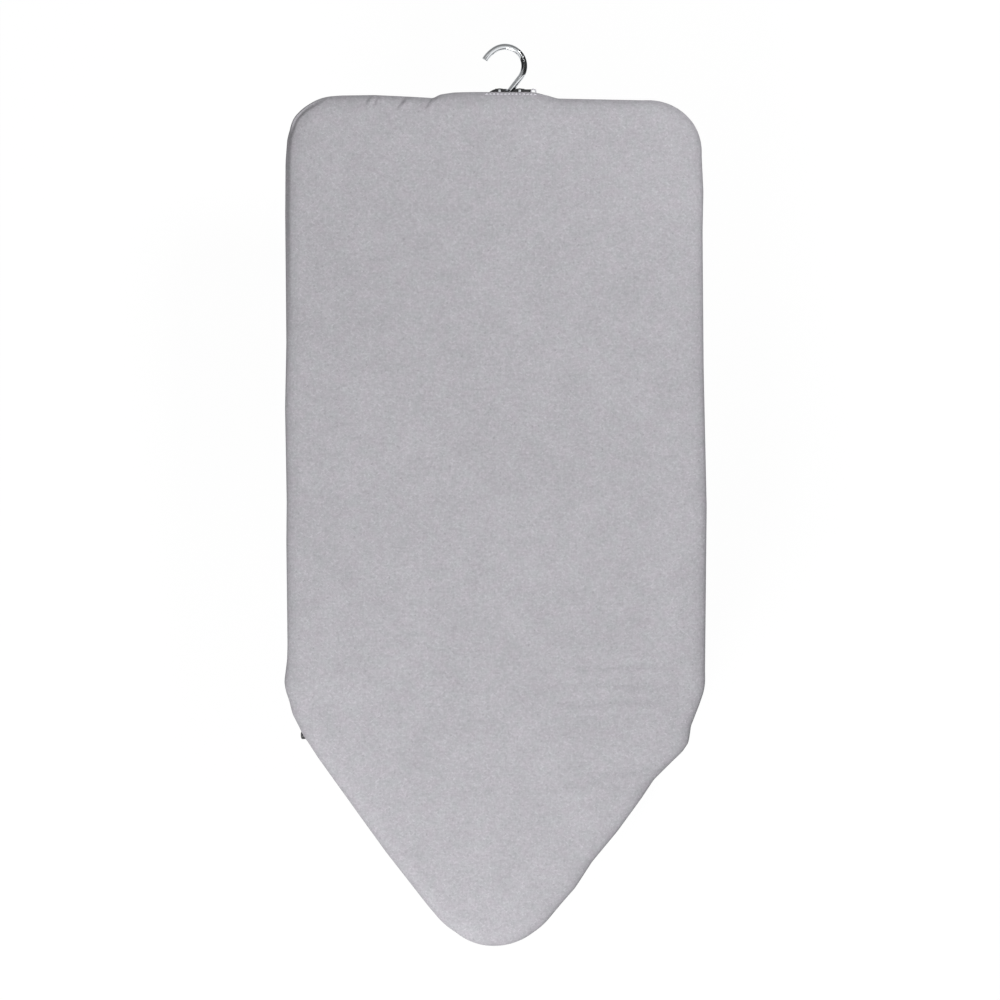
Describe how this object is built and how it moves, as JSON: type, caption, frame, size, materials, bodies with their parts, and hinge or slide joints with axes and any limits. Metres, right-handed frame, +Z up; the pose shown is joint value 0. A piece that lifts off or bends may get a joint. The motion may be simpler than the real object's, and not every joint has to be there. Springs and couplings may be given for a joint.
{
  "type": "table-top ironing board",
  "caption": "Padded table-top ironing board with a tapered nose, fitted grey cover, folding tube legs and a swivelling wire hook for hanging it up.",
  "frame": {"origin": "on the table, under the middle of the part's box, with the board standing on its open legs", "axes": "+Z up, out of the ironing face; +Y along the board towards the square end with the hook; +X to the right, seen from above with the hook at the top"},
  "size_m": [0.36, 0.774, 0.2034],
  "materials": {
    "cover_cloth": "silver-grey woven cotton with a matt metallic coat",
    "elastic": "woven elastic",
    "felt": "needled felt over foam",
    "panel_steel": "light grey powder coat",
    "leg_steel": "silver paint",
    "zinc_steel": "bright zinc plate",
    "chrome": "polished chrome plate",
    "black_steel": "black powder coat",
    "nylon": "black moulded nylon",
    "rubber": "matt black rubber"
  },
  "bodies": {
    "board": {"cover": "cover_cloth", "hem_elastic": "elastic", "pad": "felt", "mesh_panel": "panel_steel", "rim_rod": "panel_steel", "front_cross_bar": "panel_steel", "rear_cross_bar": "panel_steel", "centre_cross_bar": "panel_steel", "end_cross_bar": "panel_steel", "front_hinge_block_left": "nylon", "front_hinge_block_right": "nylon", "rear_hinge_block_left": "nylon", "rear_hinge_block_right": "nylon", "front_hinge_rivet_left_1": "zinc_steel", "front_hinge_rivet_left_2": "zinc_steel", "front_hinge_rivet_right_1": "zinc_steel", "front_hinge_rivet_right_2": "zinc_steel", "rear_hinge_rivet_left_1": "zinc_steel", "rear_hinge_rivet_left_2": "zinc_steel", "rear_hinge_rivet_right_1": "zinc_steel", "rear_hinge_rivet_right_2": "zinc_steel", "front_stop_rod": "zinc_steel", "rear_stop_rod": "zinc_steel", "leg_clip": "nylon", "leg_clip_rivet_1": "zinc_steel", "leg_clip_rivet_2": "zinc_steel", "hook_bracket": "black_steel", "hook_bracket_rivet_1": "zinc_steel", "hook_bracket_rivet_2": "zinc_steel", "hook_saddle": "zinc_steel", "hook_rivet_left": "chrome", "hook_rivet_right": "chrome", "hook_bush": "nylon"},
    "front_leg": {"front_leg_tube": "leg_steel", "front_pivot_rod": "zinc_steel", "front_spacer_left": "nylon", "front_spacer_right": "nylon", "front_rod_cap_left": "nylon", "front_rod_cap_right": "nylon", "front_foot_left": "rubber", "front_foot_right": "rubber"},
    "rear_leg": {"rear_leg_tube": "leg_steel", "rear_pivot_rod": "zinc_steel", "rear_spacer_left": "nylon", "rear_spacer_right": "nylon", "rear_rod_cap_left": "nylon", "rear_rod_cap_right": "nylon", "rear_foot_left": "rubber", "rear_foot_right": "rubber"},
    "hook": {"hook_wire": "chrome", "hook_collar": "zinc_steel"}
  },
  "joints": [
    {"name": "front_leg_fold", "type": "hinge", "parent": "board", "child": "front_leg", "pos_m": [0, -0.2061, 0.17417], "axis": [1, 0, 0], "range_deg": [0, 95]},
    {"name": "rear_leg_fold", "type": "hinge", "parent": "board", "child": "rear_leg", "pos_m": [0, 0.2059, 0.17417], "axis": [-1, 0, 0], "range_deg": [0, 95]},
    {"name": "hook_swivel", "type": "hinge", "parent": "board", "child": "hook", "pos_m": [0.012, 0.33, 0.17747], "axis": [0, 1, 0], "continuous": true}
  ]
}
